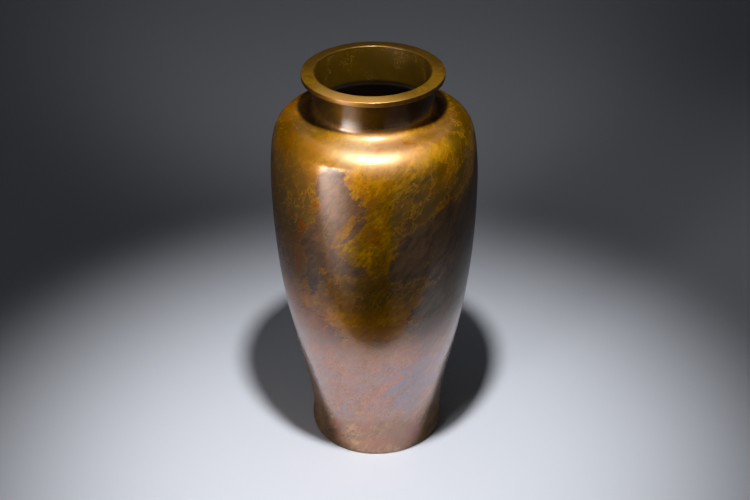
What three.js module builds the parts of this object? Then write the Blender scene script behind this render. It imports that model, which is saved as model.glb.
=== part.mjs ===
import * as THREE from 'three';

// A bronze flower vase, hollow cast and open at both ends, with a round plate soldered
// into its foot. Millimetres, +Z up. The origin is on the axis, where the foot stands.

// Whole vase
const height = 364.5;        // from the foot's sole to the top of the mouth lip
const wall = 3;              // thickness of the cast wall
const clearance = 0.3;       // gap between pieces that touch

// Foot ring and waist, seen from outside
const soleRadius = 59.7;     // outer edge of the flat ring that the vase stands on
const footRadius = 61.3;     // widest ring of the foot
const footHeight = 7.6;      // height of that widest ring
const waistRadius = 60.2;    // narrowest ring above the foot
const waistHeight = 17.5;    // height of the waist

// Belly and shoulder. A rise is how far the outline stays nearly upright on its way from a ring.
const bellyRadius = 90.3;    // widest ring of the vase
const bellyHeight = 263;     // height of that ring
const waistRise = 50;        // above the waist
const bellyDrop = 137;       // below the belly
const bellyRise = 11;        // above the belly
const shoulderRun = 11;      // straight lead into the shoulder's round
const shoulderRound = 21.2;  // radius of the shoulder's round
const shoulderStart = 20;    // degrees above level at which the round begins
const crestRadius = 65.5;    // flat ring on top of the shoulder
const crestHeight = 325.3;   // height of that ring

// Neck and mouth
const neckRadius = 52.3;     // outside of the straight neck
const coveHeight = 8.3;      // hollow curve from the shoulder's crest up to the neck
const lipRadius = 60.9;      // widest ring of the mouth
const lipFall = 0.8;         // how far the lip's domed top falls to its outer edge
const lipBand = 4.4;         // upright band round the lip
const lipEdge = 0.5;         // round of the lip's outer edges
const lipInnerEdge = 1.4;    // round of the mouth's inner edge
const lipFillet = 2.4;       // round under the lip, into the neck

// Rebate in the foot, and the plate that it takes
const soleWidth = 5.2;       // flat ring that touches the table
const soleEdge = 0.6;        // bevel of the rebate's lower edge
const seatHeight = 7;        // ledge that the plate is seated against
const seatWidth = 3.2;       // width of that ledge
const seatSkirt = 6;         // height of the ledge's own inner face
const plateThickness = 2.5;
const plateEdge = 0.4;       // bevel of the plate's edges
const solderLeg = 1.8;       // how far the solder climbs the wall and covers the plate
const solderEdge = 0.3;      // thickness of the solder at its feathered edges
const solderHollow = 0.45;   // where its face lies in the corner, as a share of the leg

// Facets round the axis, and steps along the outline's curves
const segments = 64;
const edgeSteps = 2;
const curveSteps = 4;
const shoulderSteps = 6;
const sideSteps = 10;

const boreRadius = neckRadius - wall;
const rebateRadius = soleRadius - soleWidth;
const point = (radius, z) => new THREE.Vector2(radius, z);
const degrees = (angle) => THREE.MathUtils.degToRad(angle);

// Part of an ellipse in the plane of radius and height, between two angles in degrees
function round(radius, z, radiusAcross, radiusUp, from, to) {
  return new THREE.EllipseCurve(radius, z, radiusAcross, radiusUp, degrees(from), degrees(to), to < from);
}

// Points along a curve, each moved inwards by the inset, square to the curve
function trace(curve, steps, inset = 0) {
  const points = [];
  for (let step = 0; step <= steps; step += 1) {
    const place = curve.getPoint(step / steps);
    const along = curve.getTangent(step / steps);
    points.push(point(place.x - inset * along.y, place.y + inset * along.x));
  }
  return points;
}

// Joins stretches of outline, leaving out a point that repeats the one before it
function join(...stretches) {
  const joined = [];
  for (const next of stretches.flat()) {
    const last = joined.at(-1);
    if (!last || last.distanceTo(next) > 0.001) joined.push(next);
  }
  return joined;
}

// Turns an outline into a solid round the vase's axis
function turn(outline) {
  const geometry = new THREE.LatheGeometry(outline, segments);
  geometry.rotateX(Math.PI / 2);
  return geometry;
}

// Outside of the casting, as curves from the sole up to the neck
function outerCurves() {
  const shoulderAngle = degrees(shoulderStart);
  const roundHeight = crestHeight - shoulderRound;
  const shoulder = point(
    crestRadius + shoulderRound * Math.cos(shoulderAngle),
    roundHeight + shoulderRound * Math.sin(shoulderAngle),
  );
  const lead = point(
    shoulder.x + shoulderRun * Math.sin(shoulderAngle),
    shoulder.y - shoulderRun * Math.cos(shoulderAngle),
  );
  const foot = point(footRadius, footHeight);
  const waist = point(waistRadius, waistHeight);
  const belly = point(bellyRadius, bellyHeight);
  const middle = (footHeight + waistHeight) / 2;
  return {
    toe: round(soleRadius, footHeight, footRadius - soleRadius, footHeight, -90, 0),
    ankle: new THREE.CubicBezierCurve(foot, point(footRadius, middle), point(waistRadius, middle), waist),
    side: new THREE.CubicBezierCurve(
      waist,
      point(waistRadius, waistHeight + waistRise),
      point(bellyRadius, bellyHeight - bellyDrop),
      belly,
    ),
    upperSide: new THREE.CubicBezierCurve(
      belly,
      point(bellyRadius, bellyHeight + bellyRise),
      lead,
      shoulder,
    ),
    shoulder: round(crestRadius, roundHeight, shoulderRound, shoulderRound, shoulderStart, 90),
    cove: round(crestRadius, crestHeight + coveHeight, crestRadius - neckRadius, coveHeight, 270, 180),
  };
}

// Mouth lip: the fillet under it, its upright band, its domed top and its inner edge
function lipOutline() {
  const top = height - lipFall;
  const under = top - lipBand;
  const outer = lipRadius - lipEdge;
  const inner = boreRadius + lipInnerEdge;
  const dome = new THREE.QuadraticBezierCurve(
    point(outer, top),
    point((outer + inner) / 2, height),
    point(inner, height),
  );
  return join(
    trace(round(neckRadius + lipFillet, under - lipFillet, lipFillet, lipFillet, 180, 90), curveSteps),
    trace(round(outer, under + lipEdge, lipEdge, lipEdge, -90, 0), edgeSteps),
    trace(round(outer, top - lipEdge, lipEdge, lipEdge, 0, 90), edgeSteps),
    trace(dome, edgeSteps),
    trace(round(inner, height - lipInnerEdge, lipInnerEdge, lipInnerEdge, 90, 180), curveSteps),
  );
}

// The inside of the casting follows its outside at the wall's thickness, down to the ledge
function castBody() {
  const outside = outerCurves();
  const seatRadius = rebateRadius - seatWidth;
  const inwards = (curve, steps) => trace(curve, steps, wall).reverse();
  return turn(join(
    trace(outside.toe, curveSteps),
    trace(outside.ankle, curveSteps),
    trace(outside.side, sideSteps),
    trace(outside.upperSide, curveSteps),
    trace(outside.shoulder, shoulderSteps),
    trace(outside.cove, curveSteps),
    lipOutline(),
    inwards(outside.cove, curveSteps),
    inwards(outside.shoulder, shoulderSteps),
    inwards(outside.upperSide, curveSteps),
    inwards(outside.side, sideSteps),
    [
      point(seatRadius, seatHeight + seatSkirt),
      point(seatRadius, seatHeight),
      point(rebateRadius, seatHeight),
      point(rebateRadius, soleEdge),
      point(rebateRadius + soleEdge, 0),
      point(soleRadius, 0),
    ],
  ));
}

// The plate lies under the ledge, and its upper face is the vase's inner floor
const plateTop = seatHeight - clearance;
const plateBottom = plateTop - plateThickness;

function basePlate() {
  const radius = rebateRadius - clearance;
  return turn([
    point(0, plateBottom),
    point(radius - plateEdge, plateBottom),
    point(radius, plateBottom + plateEdge),
    point(radius, plateTop - plateEdge),
    point(radius - plateEdge, plateTop),
    point(0, plateTop),
  ]);
}

// The solder fills the corner between the plate and the rebate's wall, with a hollow face
function solderSeam() {
  const corner = point(rebateRadius - clearance, plateBottom - clearance);
  const hollow = solderLeg * solderHollow;
  return turn([
    corner,
    point(corner.x - solderLeg, corner.y),
    point(corner.x - solderLeg, corner.y - solderEdge),
    point(corner.x - hollow, corner.y - hollow),
    point(corner.x - solderEdge, corner.y - solderLeg),
    point(corner.x, corner.y - solderLeg),
    corner,
  ]);
}

// Names a piece and gives it its finish
function piece(name, geometry, colour, roughness, metalness) {
  const material = new THREE.MeshStandardMaterial({ color: colour, roughness, metalness });
  const mesh = new THREE.Mesh(geometry, material);
  mesh.name = name;
  return mesh;
}

const vase = new THREE.Group();
vase.add(piece('cast_body', castBody(), 0x8a5a1e, 0.32, 0.9));
vase.add(piece('base_plate', basePlate(), 0x6b4a24, 0.45, 0.9));
vase.add(piece('solder_seam', solderSeam(), 0x8d8a80, 0.4, 1));

export default vase;
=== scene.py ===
"""The looks of a bronze flower vase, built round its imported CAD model.

Lengths are in metres, with +Z up and the vase standing on the floor at the origin.
The material nodes work in millimetres, round the vase and up it.
"""
import math

import bmesh
import bpy
from mathutils import Matrix, Vector


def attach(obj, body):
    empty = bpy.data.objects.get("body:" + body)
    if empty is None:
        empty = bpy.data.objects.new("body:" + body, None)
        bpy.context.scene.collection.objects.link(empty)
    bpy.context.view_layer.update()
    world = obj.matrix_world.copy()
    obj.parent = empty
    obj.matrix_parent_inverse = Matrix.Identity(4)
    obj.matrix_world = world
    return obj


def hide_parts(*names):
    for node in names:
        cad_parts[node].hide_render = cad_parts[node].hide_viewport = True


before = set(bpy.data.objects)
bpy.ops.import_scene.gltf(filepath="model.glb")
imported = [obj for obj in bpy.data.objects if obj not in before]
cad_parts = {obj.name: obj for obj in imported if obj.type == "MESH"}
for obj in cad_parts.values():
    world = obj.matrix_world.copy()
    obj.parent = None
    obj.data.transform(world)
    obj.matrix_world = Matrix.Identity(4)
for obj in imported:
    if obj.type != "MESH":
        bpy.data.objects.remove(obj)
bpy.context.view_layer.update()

MM = 0.001
VASE = 0.364                   # unit of the camera, the lights and the stage: one vase height

# The casting's outline in millimetres, as in the CAD source
HEIGHT = 364.5
WALL = 3
SOLE_RADIUS = 59.7
FOOT = (61.3, 7.6)             # radius and height of a ring of the outline
WAIST = (60.2, 17.5)
BELLY = (90.3, 263)
WAIST_RISE = 50
BELLY_DROP = 137
BELLY_RISE = 11
SHOULDER_RUN = 11
SHOULDER_ROUND = 21.2
SHOULDER_START = 20
CREST = (65.5, 325.3)
NECK_RADIUS = 52.3
COVE_HEIGHT = 8.3
LIP_RADIUS = 60.9
LIP_FALL = 0.8
LIP_BAND = 4.4
LIP_EDGE = 0.5
LIP_INNER_EDGE = 1.4
LIP_FILLET = 2.4
SOLE_WIDTH = 5.2
SOLE_EDGE = 0.6
SEAT_HEIGHT = 7
SEAT_WIDTH = 3.2
SEAT_SKIRT = 6

SAME_POINT = 0.001             # points of the outline that are nearer than this are one point

# Steps along the outline's curves
FOOT_STEPS = 10
SIDE_STEPS = 56
UPPER_SIDE_STEPS = 18
SHOULDER_STEPS = 22
COVE_STEPS = 20
LIP_STEPS = 8
LIP_EDGE_STEPS = 5

SEGMENTS = 256                 # facets round the visible casting
EDGE_ANGLE = 35                # degrees; a sharper edge than this is kept crisp


# Outline

def arc(centre, across, up, start, end, steps):
    """Points and directions along part of an ellipse, between two angles in degrees."""
    traced = []
    for step in range(steps + 1):
        angle = math.radians(start + (end - start) * step / steps)
        place = (centre[0] + across * math.cos(angle), centre[1] + up * math.sin(angle))
        along = (-across * math.sin(angle), up * math.cos(angle))
        if end < start:
            along = (-along[0], -along[1])
        traced.append((place, along))
    return traced


def bezier(corners, steps):
    """Points and directions along a Bezier curve with three or four corners."""
    corners = [Vector(corner) for corner in corners]
    degree = len(corners) - 1
    traced = []
    for step in range(steps + 1):
        t = step / steps
        place = Vector((0, 0))
        for index, corner in enumerate(corners):
            place += corner * math.comb(degree, index) * t ** index * (1 - t) ** (degree - index)
        along = Vector((0, 0))
        for index in range(degree):
            reach = corners[index + 1] - corners[index]
            share = math.comb(degree - 1, index) * t ** index * (1 - t) ** (degree - 1 - index)
            along += reach * share
        traced.append((tuple(place), tuple(along)))
    return traced


def offset(traced, inset=0):
    """The curve's points, moved inwards by the inset, square to the curve."""
    moved = []
    for (radius, height), (run, rise) in traced:
        length = math.hypot(run, rise)
        moved.append((radius - inset * rise / length, height + inset * run / length))
    return moved


def join(*stretches):
    """One outline from several stretches, without repeated points."""
    joined = []
    for radius, height in [point for stretch in stretches for point in stretch]:
        if not joined or math.hypot(radius - joined[-1][0], height - joined[-1][1]) > SAME_POINT:
            joined.append((radius, height))
    return joined


def outer_curves():
    """The outside of the casting as curves, from the sole up to the neck."""
    start = math.radians(SHOULDER_START)
    round_height = CREST[1] - SHOULDER_ROUND
    shoulder = (
        CREST[0] + SHOULDER_ROUND * math.cos(start),
        round_height + SHOULDER_ROUND * math.sin(start),
    )
    lead = (shoulder[0] + SHOULDER_RUN * math.sin(start), shoulder[1] - SHOULDER_RUN * math.cos(start))
    middle = (FOOT[1] + WAIST[1]) / 2
    return {
        "toe": arc((SOLE_RADIUS, FOOT[1]), FOOT[0] - SOLE_RADIUS, FOOT[1], -90, 0, FOOT_STEPS),
        "ankle": bezier([FOOT, (FOOT[0], middle), (WAIST[0], middle), WAIST], FOOT_STEPS),
        "side": bezier(
            [WAIST, (WAIST[0], WAIST[1] + WAIST_RISE), (BELLY[0], BELLY[1] - BELLY_DROP), BELLY],
            SIDE_STEPS,
        ),
        "upper_side": bezier(
            [BELLY, (BELLY[0], BELLY[1] + BELLY_RISE), lead, shoulder], UPPER_SIDE_STEPS
        ),
        "shoulder": arc(
            (CREST[0], round_height), SHOULDER_ROUND, SHOULDER_ROUND, SHOULDER_START, 90, SHOULDER_STEPS
        ),
        "cove": arc(
            (CREST[0], CREST[1] + COVE_HEIGHT), CREST[0] - NECK_RADIUS, COVE_HEIGHT, 270, 180, COVE_STEPS
        ),
    }


def lip_outline():
    """The mouth lip: the fillet under it, its upright band, its domed top and its inner edge."""
    top = HEIGHT - LIP_FALL
    under = top - LIP_BAND
    outer = LIP_RADIUS - LIP_EDGE
    inner = NECK_RADIUS - WALL + LIP_INNER_EDGE
    fillet = (NECK_RADIUS + LIP_FILLET, under - LIP_FILLET)
    inner_edge = (inner, HEIGHT - LIP_INNER_EDGE)
    return join(
        offset(arc(fillet, LIP_FILLET, LIP_FILLET, 180, 90, LIP_STEPS)),
        offset(arc((outer, under + LIP_EDGE), LIP_EDGE, LIP_EDGE, -90, 0, LIP_EDGE_STEPS)),
        offset(arc((outer, top - LIP_EDGE), LIP_EDGE, LIP_EDGE, 0, 90, LIP_EDGE_STEPS)),
        offset(bezier([(outer, top), ((outer + inner) / 2, HEIGHT), (inner, HEIGHT)], LIP_STEPS)),
        offset(arc(inner_edge, LIP_INNER_EDGE, LIP_INNER_EDGE, 90, 180, LIP_STEPS)),
    )


def casting_outline():
    """The whole outline, and the number of its points that lie outside, up to the lip's inner edge."""
    curves = outer_curves()
    outside = join(*[offset(curve) for curve in curves.values()], lip_outline())
    names = ["cove", "shoulder", "upper_side", "side"]
    inside = [offset(curves[name], WALL)[::-1] for name in names]
    rebate = SOLE_RADIUS - SOLE_WIDTH
    seat = rebate - SEAT_WIDTH
    foot = [
        (seat, SEAT_HEIGHT + SEAT_SKIRT),
        (seat, SEAT_HEIGHT),
        (rebate, SEAT_HEIGHT),
        (rebate, SOLE_EDGE),
        (rebate + SOLE_EDGE, 0),
        (SOLE_RADIUS, 0),
    ]
    whole = join(outside, *inside, foot)
    if math.dist(whole[0], whole[-1]) < SAME_POINT:
        whole.pop()
    return whole, len(outside)


def turned_casting(materials):
    """The visible casting: its outline turned round the axis, patinated outside and cast inside."""
    outline, outside_count = casting_outline()
    shape = bmesh.new()
    rings = []
    for radius, height in outline:
        ring = []
        for index in range(SEGMENTS):
            angle = 2 * math.pi * index / SEGMENTS
            ring.append(shape.verts.new((
                radius * MM * math.cos(angle), radius * MM * math.sin(angle), height * MM,
            )))
        rings.append(ring)
    for level, ring in enumerate(rings):
        above = rings[(level + 1) % len(rings)]
        for index in range(SEGMENTS):
            following = (index + 1) % SEGMENTS
            face = shape.faces.new((ring[index], ring[following], above[following], above[index]))
            face.smooth = True
            face.material_index = 0 if level < outside_count - 1 else 1
    mesh = bpy.data.meshes.new("casting")
    shape.to_mesh(mesh)
    shape.free()
    mesh.set_sharp_from_angle(angle=math.radians(EDGE_ANGLE))
    for material in materials:
        mesh.materials.append(material)
    piece = bpy.data.objects.new("casting", mesh)
    bpy.context.collection.objects.link(piece)
    return piece


# Material nodes

GENERATED, OBJECT = 0, 3       # outputs of a texture coordinate node
X, Y, Z = 0, 1, 2              # outputs of a separated vector
MIX_SHARE, MIX_FIRST, MIX_SECOND, MIX_RESULT = 0, 6, 7, 2    # a mix node's sockets for colours


class Graph:
    """A material's nodes. A number, a colour or another node's output can go into any input."""

    def __init__(self, name):
        self.material = bpy.data.materials.new(name)
        self.material.use_nodes = True
        self.tree = self.material.node_tree
        self.tree.nodes.clear()

    def feed(self, socket, value):
        if isinstance(value, bpy.types.NodeSocket):
            self.tree.links.new(value, socket)
        elif socket.type == "RGBA" and len(value) == 3:
            socket.default_value = (*value, 1)
        else:
            socket.default_value = value

    def node(self, kind, output=0, inputs=(), named=None, **settings):
        made = self.tree.nodes.new(kind)
        for key, value in settings.items():
            setattr(made, key, value)
        for socket, value in zip(made.inputs, inputs):
            self.feed(socket, value)
        for name, value in (named or {}).items():
            self.feed(made.inputs[name], value)
        return made.outputs[output]

    def surface(self, shader):
        """The finished material, with the shader on its surface."""
        output = self.tree.nodes.new("ShaderNodeOutputMaterial")
        self.tree.links.new(shader, output.inputs["Surface"])
        return self.material

    def math(self, operation, *inputs):
        return self.node("ShaderNodeMath", inputs=inputs, operation=operation)

    def plus(self, first, second):
        return self.math("ADD", first, second)

    def minus(self, first, second):
        return self.math("SUBTRACT", first, second)

    def times(self, first, second):
        return self.math("MULTIPLY", first, second)

    def larger(self, first, second):
        return self.math("MAXIMUM", first, second)

    def apart(self, value, middle):
        """How far the value lies from the middle, on either side."""
        return self.math("ABSOLUTE", self.minus(value, middle))

    def vector(self, operation, *inputs, output=0):
        return self.node("ShaderNodeVectorMath", inputs=inputs, operation=operation, output=output)

    def scaled(self, vector, factor):
        return self.node(
            "ShaderNodeVectorMath", named={"Vector": vector, "Scale": factor}, operation="SCALE"
        )

    def axis(self, vector, output):
        return self.node("ShaderNodeSeparateXYZ", output=output, inputs=(vector,))

    def millimetres(self):
        """The place on the piece, in millimetres."""
        return self.scaled(self.node("ShaderNodeTexCoord", output=OBJECT), 1 / MM)

    def ramp(self, value, low, high, to_low=0.0, to_high=1.0):
        """A smooth step of the value, from one limit to the other."""
        return self.node(
            "ShaderNodeMapRange", interpolation_type="SMOOTHSTEP", clamp=False,
            inputs=(value, low, high, to_low, to_high),
        )

    def mix(self, share, first, second):
        """The first colour, with a share of the second."""
        made = self.tree.nodes.new("ShaderNodeMix")
        made.data_type = "RGBA"
        self.feed(made.inputs[MIX_SHARE], share)
        self.feed(made.inputs[MIX_FIRST], first)
        self.feed(made.inputs[MIX_SECOND], second)
        return made.outputs[MIX_RESULT]

    def noise(self, where, size, detail=3.0, rough=0.55, colour=False, twist=0.0):
        """Cloudy noise, whose features are about the size given in millimetres."""
        return self.node(
            "ShaderNodeTexNoise", output=1 if colour else 0,
            named={"Vector": where, "Scale": 1 / size, "Detail": detail, "Roughness": rough,
                   "Distortion": twist},
        )


# Patina. Each patch is an oval: (degrees round from the front, millimetres up, half its width,
# half its height, degrees of turn, strength, softness). Above the belly, the surface's way inwards
# is added to the millimetres up, so they pass the vase's height.

PATCH_FADE = 1.8               # how far a patch of softness 1 fades, as a share of its own size
WINDING = -0.6                 # how far the clouds drift round for each millimetre up
NECK_RISE = (368, 374)         # where the neck's colour starts, and where it is full
COVE_RISE = 367                # the hollow below the neck
BAND_HEIGHT = (358.6, 359.4)   # the lower edge of the lip's band, as a plain height
LIP_TOP_HEIGHT = (363.0, 363.8)    # its upper edge

OCHRE_PATCHES = [
    (-58, 284, 37, 38, 0, 2.0, 0.25),
    (-48, 250, 13, 10, 0, 1.0, 0.4),
    (-34, 279, 4, 9, 0, 0.6, 0.5),
    (-70, 252, 14, 24, 0, 0.7, 0.5),
    (6, 305, 30, 13, 0, 1.2, 0.35),
    (50, 300, 46, 22, 24, 1.3, 0.3),
    (19, 271, 27, 18, 30, 1.0, 0.35),
    (2, 262, 14, 50, 0, 1.7, 0.25),
    (-16, 256, 4, 24, -36, 2.0, 0.3),
    (-12.5, 243, 8, 16, -28, 1.3, 0.3),
    (-12, 236, 11, 9, 0, 2.4, 0.3),
    (-46, 313, 26, 12, 0, 0.9, 0.5),
    (-2, 181, 40, 34, 0, 1.4, 0.25),
    (-2, 146, 34, 30, 0, 1.3, 0.35),
    (-50, 222, 16, 20, 0, 0.9, 0.4),
    (-44, 188, 34, 20, 0, 0.8, 0.5),
    (28, 206, 18, 12, 30, 0.9, 0.5),
    (42, 214, 22, 6, 24, 0.9, 0.6),
    (34, 226, 22, 2.5, 28, 1.3, 0.6),
]
SMOKY_PATCHES = [
    (-38, 217, 6, 30, 0, 1.2, 0.4),
    (-24, 270, 12, 40, -8, 1.3, 0.4),
    (-25, 305, 11, 12, 0, 2.6, 0.5),
    (-9, 268, 3, 16, -16, 1.3, 0.4),
    (-11, 259, 3, 15, -36, 2.8, 0.35),
    (-17, 224, 15, 7, 0, 1.2, 0.4),
    (3, 219, 13, 6, 0, 0.7, 0.5),
    (48, 236, 60, 30, 8, 1.3, 0.3),
    (60, 180, 44, 40, 0, 0.8, 0.5),
    (-60, 340, 16, 9, 10, 0.7, 0.6),
    (-44, 352, 14, 7, 0, 0.5, 0.6),
    (-24, 362, 12, 8, 0, 0.5, 0.5),
]
OLIVE_PATCHES = [
    (22, 304, 9, 6, 0, 0.9, 0.5),
    (32, 306, 9, 6, 0, 0.9, 0.5),
    (20, 291, 15, 6, -10, 0.9, 0.5),
    (34, 281, 14, 5, 24, 0.8, 0.5),
    (11, 277, 5, 14, -20, 0.8, 0.5),
    (53, 292, 24, 7, 24, 0.7, 0.6),
    (-60, 288, 36, 28, 0, 0.7, 0.5),
    (-52, 256, 16, 14, 0, 0.6, 0.5),
    (70, 308, 26, 22, 0, 0.7, 0.6),
]
RED_PATCHES = [
    (2, 250, 4, 3.5, 0, 1.0, 0.5),
    (5, 246, 3, 5, 20, 0.7, 0.5),
    (-43, 252, 2.5, 5, 0, 0.9, 0.5),
    (-45, 245, 3, 3, 0, 0.9, 0.5),
    (-33, 277, 3, 6, 15, 0.6, 0.6),
    (-66, 318, 16, 16, 0, 0.35, 0.8),
    (14, 349, 26, 5, 0, 0.4, 0.8),
    (24, 349, 10, 4, 0, 0.5, 0.7),
    (33, 371, 5, 3, 0, 0.8, 0.6),
    (-2, 157, 8, 1.6, 4, 0.8, 0.6),
    (-54, 186, 3, 34, -16, 0.6, 0.6),
    (-30, 150, 12, 30, 0, 0.5, 0.9),
]
MAUVE_PATCHES = [
    (34, 88, 34, 36, -10, 1.0, 0.5),
    (22, 84, 20, 22, -20, 0.9, 0.5),
    (17, 104, 20, 14, -24, 0.8, 0.6),
    (32, 122, 16, 18, -20, 0.7, 0.6),
    (12, 60, 30, 13, 8, 0.9, 0.6),
    (-24, 74, 22, 26, 0, 0.6, 0.7),
    (60, 140, 24, 30, 0, 0.7, 0.6),
    (-7, 78, 9, 7, 0, 0.8, 0.6),
    (36, 34, 14, 9, 0, 0.5, 0.7),
]
BEIGE_PATCHES = [
    (4, 122, 24, 10, 0, 0.9, 0.6),
    (-4, 27, 44, 12, 0, 0.8, 0.5),
    (-26, 116, 24, 20, 0, 0.7, 0.8),
    (-8, 92, 9, 7, 0, 0.6, 0.7),
    (10, 47, 34, 4, 4, 0.6, 0.6),
]
FOOT_ROSE_PATCHES = [
    (-36, 22, 6, 12, 0, 1.0, 0.6),
    (-2, 12, 18, 5, 0, 0.55, 0.6),
    (34, 24, 9, 11, 0, 1.0, 0.6),
    (-12, 36, 10, 3.5, 0, 1.0, 0.6),
    (16, 44, 7, 3, 10, 0.7, 0.6),
]
ROSE_PATCHES = [
    (-20, 95, 9, 13, 10, 0.7, 0.8),
    (15, 118, 5, 4, 0, 0.9, 0.6),
    (5, 82, 2.5, 34, -52, 1.2, 0.5),
]


class Patina(Graph):
    """Polished bronze under a cloudy patina of ochre and smoke brown."""

    def __init__(self):
        super().__init__("patinated_bronze")
        self.lay_out()
        self.cover_with_ochre()
        self.swirl = self.ramp(self.noise(self.eddy, 9, 7.0, 0.70, twist=0.8), 0.34, 0.66)
        self.grain = self.ramp(self.noise(self.place, 1.5, 3.0, 0.6), 0.32, 0.68)
        self.thread = self.ramp(self.apart(self.noise(self.eddy, 17, 5.0, 0.6), 0.5), 0.018, 0.0)
        self.high = self.ramp(self.up, 235, 328)

    def lay_out(self):
        """The place on the surface as it is, and swept along with the clouds."""
        self.place = self.millimetres()
        self.height = self.axis(self.place, Z)

        # The clouds drift downwards to the left, so their noise is wound round the axis and
        # drawn out along it.
        wound = self.node(
            "ShaderNodeVectorRotate", rotation_type="Z_AXIS",
            named={"Vector": self.place, "Angle": self.times(self.height, WINDING / BELLY[0])},
        )
        self.drawn = self.vector("MULTIPLY", wound, (1.0, 1.0, 0.7))
        swept = None
        for size, reach, detail in ((30, 16, 2.0), (10, 9, 2.0), (3.5, 4, 3.0)):
            cloud = self.noise(self.drawn, size, detail, colour=True)
            push = self.scaled(self.vector("SUBTRACT", cloud, (0.5, 0.5, 0.5)), reach)
            swept = push if swept is None else self.vector("ADD", swept, push)
        self.level = self.unrolled()
        self.warped = self.vector("ADD", self.level, swept)
        self.eddy = self.vector("ADD", self.drawn, self.scaled(swept, 0.8))
        self.up = self.axis(self.warped, Y)
        self.rise = self.axis(self.level, Y)
        self.behind = self.ramp(self.axis(self.place, Y), -12, 22)

    def unrolled(self):
        """Millimetres round the vase from its front, and up it."""
        x, y, z = [self.axis(self.place, output) for output in (X, Y, Z)]
        angle = self.math("ARCTAN2", x, self.times(y, -1.0))
        radius = self.math("SQRT", self.plus(self.times(x, x), self.times(y, y)))
        above = self.math("GREATER_THAN", z, BELLY[1])
        lean = self.times(self.minus(BELLY[0], radius), above)
        return self.node(
            "ShaderNodeCombineXYZ", inputs=(self.times(angle, BELLY[0]), self.plus(z, lean), 0.0)
        )

    def patch(self, where, oval):
        """A soft oval on the unrolled surface."""
        degrees, up, across, along, turn, strength, soft = oval
        run = math.radians(degrees) * BELLY[0]
        if turn:
            cosine, sine = math.cos(math.radians(turn)), math.sin(math.radians(turn))
            aside = self.vector("SUBTRACT", where, (run, up, 0))
            local = self.node("ShaderNodeCombineXYZ", inputs=(
                self.vector("DOT_PRODUCT", aside, (cosine / across, sine / across, 0), output=1),
                self.vector("DOT_PRODUCT", aside, (-sine / along, cosine / along, 0), output=1),
                0.0,
            ))
        else:
            local = self.vector(
                "MULTIPLY_ADD", where, (1 / across, 1 / along, 0), (-run / across, -up / along, 0)
            )
        distance = self.vector("LENGTH", local, output=1)
        fade = PATCH_FADE * soft
        return self.ramp(distance, 1 + fade, 1 - fade, 0.0, strength)

    def patches(self, where, group):
        total = None
        for oval in group:
            made = self.patch(where, oval)
            total = made if total is None else self.plus(total, made)
        return total

    def tinted(self, colour, where, oval, tint):
        return self.mix(self.patch(where, oval), colour, tint)

    def cover_with_ochre(self):
        """Where ochre covers the smoke brown, and the rim between them.

        The half that the photograph doesn't show takes its clouds from noise alone.
        """
        ochre = self.patches(self.warped, OCHRE_PATCHES)
        front = self.minus(ochre, self.patches(self.warped, SMOKY_PATCHES))
        back = self.times(self.minus(self.noise(self.eddy, 44, 1.0), 0.5), 9.0)
        cover = self.plus(
            self.times(front, self.minus(1.0, self.behind)), self.times(back, self.behind)
        )
        cover = self.plus(cover, self.ramp(self.up, 290, 318, 0.0, 2.0))
        for where, size, reach, rough in (
            (self.eddy, 26, 2.6, 0.6),
            (self.eddy, 9, 2.6, 0.72),
            (self.drawn, 4.5, 2.6, 0.7),
            (self.place, 2, 1.4, 0.6),
        ):
            cloud = self.minus(self.noise(where, size, 6.0, rough), 0.5)
            cover = self.plus(cover, self.times(cloud, reach))
        self.rim = self.ramp(self.apart(cover, 0.50), 0.24, 0.0)
        self.cover = self.ramp(cover, -0.05, 0.95)

    def ochre(self):
        """The ochre clouds, from dark to bright, with olive and rust in them."""
        low = self.ramp(self.up, 205, 150)
        bright = self.mix(self.high, (0.56, 0.315, 0.054), (0.76, 0.405, 0.115))
        bright = self.mix(low, bright, (1.0, 0.485, 0.098))
        dark = self.mix(self.high, (0.110, 0.056, 0.008), (0.280, 0.140, 0.032))
        dark = self.mix(low, dark, (0.460, 0.198, 0.040))
        crumb = self.ramp(self.noise(self.drawn, 4.5, 5.0, 0.75), 0.40, 0.60)
        tone = self.plus(self.times(self.swirl, 0.30), self.times(self.grain, 0.20))
        tone = self.plus(tone, self.times(crumb, 0.50))
        murk = self.ramp(self.noise(self.eddy, 20, 7.0, 0.70), 0.42, 0.60)
        self.tone = self.times(tone, self.ramp(murk, 0.0, 1.0, 1.15, 0.35))
        gold = self.mix(self.tone, dark, bright)
        gold = self.tinted(gold, self.level, (-46, 338, 38, 24, 0, 0.6, 0.5), (0.60, 0.322, 0.105))
        gold = self.tinted(gold, self.warped, (43, 330, 26, 9, 0, 0.45, 0.5), (0.92, 0.560, 0.160))

        # Away from the shoulder's front, from these patches and from the lower body, the ochre is
        # darkened almost to black: partly a deeper ochre, partly painted shade where the lamp falls
        # less.
        clear = self.patch(self.warped, (2, 345, 72, 55, 0, 1.0, 0.42))
        clear = self.larger(clear, self.patch(self.warped, (-5, 250, 26, 28, 0, 0.9, 0.5)))
        clear = self.larger(clear, self.patch(self.warped, (-56, 282, 38, 36, 0, 0.35, 0.3)))
        clear = self.larger(clear, self.ramp(self.up, 210, 165, 0.0, 0.48))
        gold = self.mix(self.ramp(clear, 1.0, 0.0, 0.0, 0.80), gold, (0.055, 0.028, 0.004))
        # Painted highlight: a pale patch at the front of the shoulder's crest, round the lamp's
        # highlights.
        gold = self.tinted(gold, self.warped, (0, 343, 38, 20, 0, 0.8, 0.5), (0.84, 0.64, 0.43))

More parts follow.
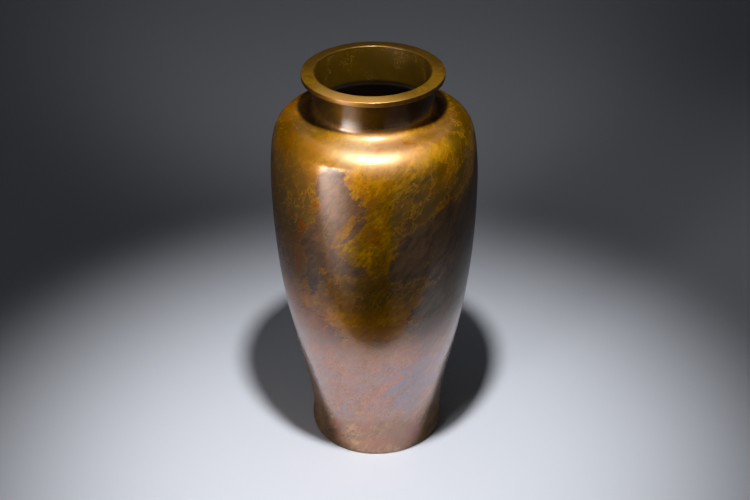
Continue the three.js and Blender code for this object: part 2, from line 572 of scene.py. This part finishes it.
        olive = self.patches(self.warped, OLIVE_PATCHES)
        olive = self.times(olive, self.ramp(self.swirl, -0.3, 0.9))
        gold = self.mix(olive, gold, (0.085, 0.056, 0.016))
        rust = self.ramp(self.noise(self.eddy, 34, 3.0, 0.55), 0.46, 0.66, 0.0, 0.5)
        spared = self.patch(self.level, (-56, 282, 42, 42, 0, 1.0, 0.4))
        rust = self.times(rust, self.ramp(spared, 0.0, 1.0, 1.0, 0.2))
        rusty = self.mix(self.high, (0.17, 0.066, 0.022), (0.42, 0.180, 0.065))
        return self.mix(rust, gold, rusty)

    def smoke(self):
        """The smoke-brown clouds."""
        smoke = self.mix(self.swirl, (0.034, 0.018, 0.007), (0.110, 0.058, 0.021))
        paler = self.patch(self.warped, (-19, 268, 30, 46, 0, 0.6, 0.5))
        paler = self.larger(paler, self.ramp(self.up, 300, 335))
        paler = self.larger(paler, self.patch(self.level, (20, 232, 28, 44, 0, 0.2, 0.7)))
        pale = self.mix(self.swirl, (0.12, 0.062, 0.030), (0.27, 0.150, 0.085))
        return self.mix(paler, smoke, pale)

    def body(self):
        """The clouds of the body, with their brighter rims and threads and a few red specks."""
        gold = self.ochre()
        colour = self.mix(self.cover, self.smoke(), gold)
        outline = self.mix(self.high, (0.46, 0.230, 0.060), (0.80, 0.435, 0.110))
        calm = self.patch(self.level, (-48, 328, 36, 24, 0, 0.8, 0.5))
        rim = self.times(self.rim, self.minus(1.0, calm))
        self.thread = self.times(self.thread, self.minus(1.0, calm))
        rim = self.times(rim, self.ramp(self.swirl, 0.0, 1.0, 0.1, 0.5))
        colour = self.mix(rim, colour, outline)
        thread = self.times(self.thread, self.times(self.cover, 0.45))
        colour = self.mix(thread, colour, outline)
        colour = self.tinted(colour, self.level, (46, 351, 32, 8, -6, 0.6, 0.7), (0.26, 0.145, 0.060))
        red = self.patches(self.warped, RED_PATCHES)
        red = self.times(red, self.ramp(self.swirl, 0.3, 1.0))
        red = self.times(red, self.minus(0.8, self.behind))
        return self.mix(red, colour, (0.40, 0.070, 0.010))

    def neck_and_lip(self, colour):
        """Lays the neck, the lip's band and the lip's top over the body, with painted shade on the neck
        and behind the lip.
        """
        # The neck is a dark olive, darkened further by painted shade where the lip shades it.
        neck = self.mix(self.swirl, (0.050, 0.028, 0.009), (0.088, 0.050, 0.014))
        # Painted shade: the right side of the neck is darkened almost to black.
        neck = self.tinted(neck, self.level, (66, 384, 56, 22, 0, 0.7, 0.5), (0.012, 0.008, 0.005))
        colour = self.mix(self.ramp(self.rise, *NECK_RISE), colour, neck)
        band = self.mix(self.swirl, (0.080, 0.042, 0.015), (0.190, 0.100, 0.036))
        band = self.tinted(band, self.level, (-12, 392, 30, 16, 0, 0.8, 0.5), (0.34, 0.200, 0.090))
        colour = self.mix(self.ramp(self.height, *BAND_HEIGHT), colour, band)
        lip = self.mix(self.swirl, (0.20, 0.112, 0.032), (0.36, 0.208, 0.060))
        lip = self.tinted(lip, self.warped, (-14, 396, 50, 16, 0, 0.8, 0.35), (0.62, 0.380, 0.170))
        # Painted shade: the lip's top darkens towards the back.
        lip = self.mix(self.times(self.behind, 0.6), lip, (0.075, 0.044, 0.018))
        return self.mix(self.ramp(self.height, *LIP_TOP_HEIGHT), colour, lip)

    def lower_body(self, colour):
        """Lays the pink, mauve and beige clouds over the body, low down, where the patina is thin."""
        spread = self.plus(self.up, self.times(self.noise(self.eddy, 12, 4.0, 0.6), 24))
        spared = self.patch(self.level, (-62, 178, 46, 36, 0, 46, 0.5))
        self.bare = self.ramp(self.minus(spread, spared), 182, 118)
        veil = self.ramp(self.noise(self.eddy, 20, 7.0, 0.68), 0.36, 0.64)
        metal = self.mix(veil, (0.46, 0.212, 0.140), (0.32, 0.195, 0.200))
        metal = self.mix(self.ramp(self.swirl, 0.2, 1.0, 0.0, 0.5), metal, (0.34, 0.180, 0.075))
        for group, tint in (
            (MAUVE_PATCHES, (0.26, 0.182, 0.215)),
            (BEIGE_PATCHES, (0.43, 0.220, 0.080)),
            (ROSE_PATCHES, (0.62, 0.200, 0.115)),
        ):
            amount = self.times(self.patches(self.warped, group), self.ramp(veil, -0.2, 1.2))
            metal = self.mix(amount, metal, tint)
        stream = self.apart(self.noise(self.eddy, 27, 6.0, 0.62, twist=0.5), 0.5)
        stream = self.ramp(stream, 0.055, 0.01)
        stream = self.times(stream, self.ramp(self.swirl, 0.1, 0.9, 0.0, 0.65))
        metal = self.mix(stream, metal, (0.70, 0.270, 0.140))
        metal = self.mix(self.times(self.thread, 0.50), metal, (0.70, 0.330, 0.170))
        metal = self.mix(self.times(self.grain, 0.45), metal, (0.17, 0.085, 0.060))

        self.foot = self.ramp(self.plus(self.up, self.times(veil, 10)), 62, 22)
        sole = self.mix(self.tone, (0.25, 0.138, 0.080), (0.72, 0.460, 0.290))
        sole = self.mix(self.ramp(veil, 0.3, 0.9, 0.0, 0.5), sole, (0.48, 0.250, 0.180))
        sole = self.mix(self.patches(self.warped, FOOT_ROSE_PATCHES), sole, (0.46, 0.190, 0.150))
        metal = self.mix(self.foot, metal, sole)

        # Painted reflection: low on the flanks the colour is painted dark brown, for the reflection of
        # the floor's shadow beside the vase.
        painted_shadow_reflection = self.ramp(self.patch(self.warped, (1, 120, 101, 125, 0, 1.0, 0.12)), 1.0, 0.0)
        self.painted_shadow_reflection = self.times(painted_shadow_reflection, self.ramp(self.up, 130, 80))
        brown = self.mix(self.swirl, (0.028, 0.013, 0.004), (0.105, 0.048, 0.012))
        metal = self.mix(self.painted_shadow_reflection, metal, brown)
        return self.mix(self.bare, colour, metal)

    def polish(self):
        """The weight of the clear coat, and how metallic the surface is under it.

        The middle of the vase is duller than its shoulder and its lower part.
        """
        shine = self.plus(
            self.ramp(self.up, 165, 105, 0.19, 0.95), self.ramp(self.up, 311, 325, 0.0, 0.58)
        )
        shine = self.times(shine, self.ramp(self.foot, 0.0, 1.0, 1.0, 0.42))
        shine = self.times(shine, self.ramp(self.painted_shadow_reflection, 0.0, 1.0, 1.0, 0.02))
        shine = self.times(shine, self.ramp(self.times(self.tone, self.bare), 0.0, 1.0, 1.0, 0.76))

        # Both fade towards the sides, and the coat also fades on the neck and in the cove.
        around = self.math("ABSOLUTE", self.axis(self.level, X))
        edge = self.times(self.ramp(around, 65, 110), self.ramp(self.up, 335, 300))
        side = self.times(self.ramp(around, 56, 78), self.ramp(self.up, 338, 312, 0.0, 0.17))
        shine = self.minus(shine, self.times(side, self.ramp(self.up, 130, 190)))
        shine = self.minus(shine, self.ramp(self.rise, 370, 384, 0.0, 0.64))
        cove = self.ramp(self.apart(self.rise, COVE_RISE), 7, 1, 0.0, 0.40)
        shine = self.minus(shine, cove)
        metallic = self.plus(
            self.ramp(self.bare, 0.0, 1.0, 0.44, 0.8), self.ramp(self.rise, *NECK_RISE, 0.0, 0.41)
        )
        metallic = self.minus(metallic, self.times(self.larger(self.foot, self.painted_shadow_reflection), 0.6))
        metallic = self.minus(metallic, cove)
        metallic = self.minus(metallic, self.times(edge, 0.3))
        return shine, metallic

    def finished(self):
        """The whole material, with all the layers laid over each other."""
        colour = self.lower_body(self.neck_and_lip(self.body()))
        pits = self.ramp(self.noise(self.place, 2.8, 2.0, 0.5), 0.30, 0.24)
        pits = self.times(pits, self.ramp(self.up, 335, 315, 0.0, 0.5))
        colour = self.mix(pits, colour, (0.02, 0.012, 0.006))
        relief = self.noise(self.place, 1.3, 3.0, 0.6)
        shine, metallic = self.polish()
        rough = self.plus(self.ramp(self.up, 130, 290, 0.25, 0.48), self.times(self.foot, 0.25))
        rough = self.plus(rough, self.times(self.painted_shadow_reflection, self.ramp(self.up, 115, 70, 0.0, 0.35)))
        normal = self.node(
            "ShaderNodeBump", named={"Strength": 0.35, "Distance": 0.00005, "Height": relief}
        )
        return self.surface(self.node(
            "ShaderNodeBsdfPrincipled",
            named={"Base Color": colour, "Metallic": metallic, "Roughness": rough, "Normal": normal,
                   "Coat Weight": shine, "Coat Roughness": 0.15, "Coat IOR": 2.6, "Coat Normal": normal},
        ))


def cast_bronze():
    """The inside of the casting: dark, with the roughness of the core that it was poured round."""
    graph = Graph("inside_bronze")
    place = graph.millimetres()
    cloud = graph.noise(place, 14, 4.0, 0.6)
    colour = graph.mix(cloud, (0.042, 0.023, 0.006), (0.098, 0.058, 0.013))
    fleck = graph.times(
        graph.ramp(graph.noise(place, 1.3, 2.0, 0.6), 0.55, 0.64),
        graph.ramp(graph.noise(place, 26, 3.0), 0.42, 0.62),
    )
    colour = graph.mix(fleck, colour, (0.36, 0.220, 0.072))
    # Painted light: deep inside, the wall turns a lighter grey, for the dim glow down the mouth.
    depth = graph.ramp(graph.axis(place, Z), 230, 300)
    colour = graph.mix(depth, (0.20, 0.20, 0.19), colour)
    return graph.surface(graph.node(
        "ShaderNodeBsdfPrincipled",
        named={"Base Color": colour, "Roughness": 0.3, "IOR": 2.4, "Specular Tint": (1.0, 0.82, 0.7, 1)},
    ))


def plain(name, colour, roughness):
    """Metal that is darker and smoother in places."""
    graph = Graph(name)
    cloud = graph.noise(graph.millimetres(), 4.0, 5.0, 0.6)
    dark = tuple(channel * 0.4 for channel in colour)
    return graph.surface(graph.node(
        "ShaderNodeBsdfPrincipled",
        named={"Base Color": graph.mix(cloud, dark, colour), "Metallic": 1.0,
               "Roughness": graph.ramp(cloud, 0.2, 0.8, roughness * 0.7, roughness * 1.3)},
    ))


casting = turned_casting([Patina().finished(), cast_bronze()])
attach(casting, "root")
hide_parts("cast_body")

for name, material in (
    ("base_plate", plain("plate_bronze", (0.16, 0.09, 0.035), 0.45)),
    ("solder_seam", plain("solder", (0.30, 0.29, 0.26), 0.4)),
):
    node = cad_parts[name]
    for index in range(len(node.material_slots)):
        node.material_slots[index].material = material


# Stage. Its places are in vase heights.

FLOOR_SIDE = 7
FLOOR_BACK = 9
FLOOR_FRONT = -0.489           # where the floor's front edge crosses the middle
FLOOR_SLANT = -0.012           # how much nearer the edge is for each unit to the right
FLOOR_COLOUR = (0.76, 0.785, 0.85, 1)

# The window and the side wall stand behind the camera, and only reflections see them.
PANEL_PLACE = -3.3
PANEL_FOOT = -3.9
PANEL_TOP = 2.64
WINDOW_SIDES = (-5.6, -0.7)
WINDOW_STRENGTH = 10.2
WINDOW_TINT = (1.0, 0.885, 0.84, 1)
WALL_SIDES = (1.13, 9)
WALL_STRENGTH = 0.12
WALL_TINT = (1.0, 0.98, 0.97, 1)

# The soft box is a dome that only polished surfaces see, with a glow overhead.
SOFT_BOX_RADIUS = 9.5
SOFT_BOX_STRENGTH = 0.5
SOFT_BOX_TINT = (1.0, 0.95, 0.88, 1)
SOFT_BOX_LEAN = 0.25           # how far the glow leans towards the camera
SOFT_BOX_WIDTH = (0.50, 0.0)   # where the glow begins to the side, and where it is full
SOFT_BOX_RISE = (0.25, 0.80)   # where it begins from below, and where it is full

WORLD_TINT = (0.9, 0.95, 1.0, 1)
WORLD_STRENGTH = 0.028


def staged(name, mesh, material):
    """A piece of the stage, which isn't part of the vase."""
    mesh.materials.append(material)
    made = bpy.data.objects.new(name, mesh)
    bpy.context.collection.objects.link(made)
    return made


def quad(name, corners, material):
    """A flat panel with four corners, in vase heights."""
    mesh = bpy.data.meshes.new(name)
    mesh.from_pydata([Vector(corner) * VASE for corner in corners], [], [(0, 1, 2, 3)])
    return staged(name, mesh, material)


def panel(name, sides, material):
    """An upright light behind the camera that only reflections see."""
    left, right = sides
    made = quad(name, [
        (left, PANEL_PLACE, PANEL_FOOT),
        (right, PANEL_PLACE, PANEL_FOOT),
        (right, PANEL_PLACE, PANEL_TOP),
        (left, PANEL_PLACE, PANEL_TOP),
    ], material)
    made.visible_camera = False
    made.visible_diffuse = False


def pale_floor():
    graph = Graph("pale_floor")
    return graph.surface(graph.node(
        "ShaderNodeBsdfPrincipled",
        named={"Base Color": FLOOR_COLOUR, "Roughness": 0.75, "Specular IOR Level": 0.1},
    ))


def glow(name, strength, across, upward, tint):
    """A light that fades across and downwards, between shares of its width and of its height."""
    graph = Graph(name)
    spot = graph.node("ShaderNodeTexCoord", output=GENERATED)
    x, z = graph.axis(spot, X), graph.axis(spot, Z)
    light = graph.times(graph.ramp(x, *across), graph.ramp(z, *upward))
    return graph.surface(graph.node("ShaderNodeEmission", inputs=(tint, graph.times(light, strength))))


def overhead_glow(name):
    """A soft glow overhead that is longer than it is wide."""
    graph = Graph(name)
    where = graph.vector("NORMALIZE", graph.node("ShaderNodeTexCoord", output=OBJECT))
    x, y, z = [graph.axis(where, output) for output in (X, Y, Z)]
    along = graph.minus(z, graph.times(y, SOFT_BOX_LEAN))
    light = graph.times(
        graph.ramp(graph.math("ABSOLUTE", x), *SOFT_BOX_WIDTH), graph.ramp(along, *SOFT_BOX_RISE)
    )
    return graph.surface(graph.node(
        "ShaderNodeEmission", inputs=(SOFT_BOX_TINT, graph.times(light, SOFT_BOX_STRENGTH))
    ))


def soft_box(name):
    material = overhead_glow(name)
    shape = bmesh.new()
    bmesh.ops.create_icosphere(shape, subdivisions=4, radius=SOFT_BOX_RADIUS * VASE)
    mesh = bpy.data.meshes.new(name)
    shape.to_mesh(mesh)
    shape.free()
    made = staged(name, mesh, material)
    made.visible_camera = False
    made.visible_diffuse = False
    made.visible_shadow = False


def beam(name, place, aim, energy, angle, size=0.12, blend=1.0, gloss=False):
    """A round lamp that lights a soft pool. Its energy is in watts and its size in metres."""
    lamp = bpy.data.lights.new(name, "SPOT")
    lamp.energy = energy
    lamp.shadow_soft_size = size
    lamp.spot_size = math.radians(angle)
    lamp.spot_blend = blend
    made = bpy.data.objects.new(name, lamp)
    made.location = Vector(place) * VASE
    made.rotation_mode = "QUATERNION"
    made.rotation_quaternion = (Vector(aim) - Vector(place)).to_track_quat("-Z", "Y")
    made.visible_glossy = gloss
    bpy.context.collection.objects.link(made)


quad("floor", [
    (-FLOOR_SIDE, FLOOR_FRONT - FLOOR_SLANT * FLOOR_SIDE, 0),
    (FLOOR_SIDE, FLOOR_FRONT + FLOOR_SLANT * FLOOR_SIDE, 0),
    (FLOOR_SIDE, FLOOR_BACK, 0),
    (-FLOOR_SIDE, FLOOR_BACK, 0),
], pale_floor())
panel("window", WINDOW_SIDES, glow(
    "window_light", WINDOW_STRENGTH, across=(0.95, 0.3), upward=(0.03, 0.72), tint=WINDOW_TINT
))
panel("side_wall", WALL_SIDES, glow(
    "wall_light", WALL_STRENGTH, across=(2.0, 1.0), upward=(-1.0, 0.0), tint=WALL_TINT
))

beam("key", place=(0.036, -0.603, 2.502), aim=(-0.023, -0.206, 0), energy=29.2, angle=53.5,
     size=0.029, blend=0.947, gloss=True)
beam("left_fill", place=(-1.9, -2.7, 1.7), aim=(-0.22, -0.28, 0), energy=11, angle=28)
beam("right_fill", place=(2.6, -0.4, 2.2), aim=(1.25, 0.85, 0), energy=2.5, angle=44)
beam("back_glow", place=(0.1, -0.9, 2.6), aim=(-0.1, 2.6, 0), energy=8.2, angle=40)

soft_box("soft_box")

world = bpy.data.worlds.new("studio")
world.use_nodes = True
background = world.node_tree.nodes["Background"]
background.inputs["Color"].default_value = WORLD_TINT
background.inputs["Strength"].default_value = WORLD_STRENGTH
bpy.context.scene.world = world
world.cycles_visibility.glossy = False


# Camera

CAMERA_PLACE = Vector((0, -3.134, 2.461)) * VASE
PITCH = math.radians(31.866)
YAW = math.radians(-0.0075)
ROLL = math.radians(-0.688)
LENS = 71.48                   # millimetres, on a sensor 36 wide
SENSOR_WIDTH = 36

view = Vector((math.sin(YAW) * math.cos(PITCH), math.cos(YAW) * math.cos(PITCH), -math.sin(PITCH)))
level_right = view.cross(Vector((0, 0, 1))).normalized()
level_up = level_right.cross(view)
right = level_right * math.cos(ROLL) + level_up * math.sin(ROLL)
upright = level_up * math.cos(ROLL) - level_right * math.sin(ROLL)
turned = Matrix((right, upright, -view)).transposed().to_4x4()
camera_data = bpy.data.cameras.new("camera")
camera_data.lens = LENS
camera_data.sensor_width = SENSOR_WIDTH
camera = bpy.data.objects.new("camera", camera_data)
camera.matrix_world = Matrix.Translation(CAMERA_PLACE) @ turned
bpy.context.collection.objects.link(camera)
bpy.context.scene.camera = camera
bpy.context.scene.view_settings.view_transform = "Standard"


# Colour grade of the whole picture: a little more saturation

SATURATION = 1.18

bpy.context.scene.use_nodes = True
grade = bpy.context.scene.node_tree
grade.nodes.clear()
rendered = grade.nodes.new("CompositorNodeRLayers")
richer = grade.nodes.new("CompositorNodeHueSat")
richer.inputs["Saturation"].default_value = SATURATION
final = grade.nodes.new("CompositorNodeComposite")
grade.links.new(rendered.outputs["Image"], richer.inputs["Image"])
grade.links.new(richer.outputs["Image"], final.inputs["Image"])
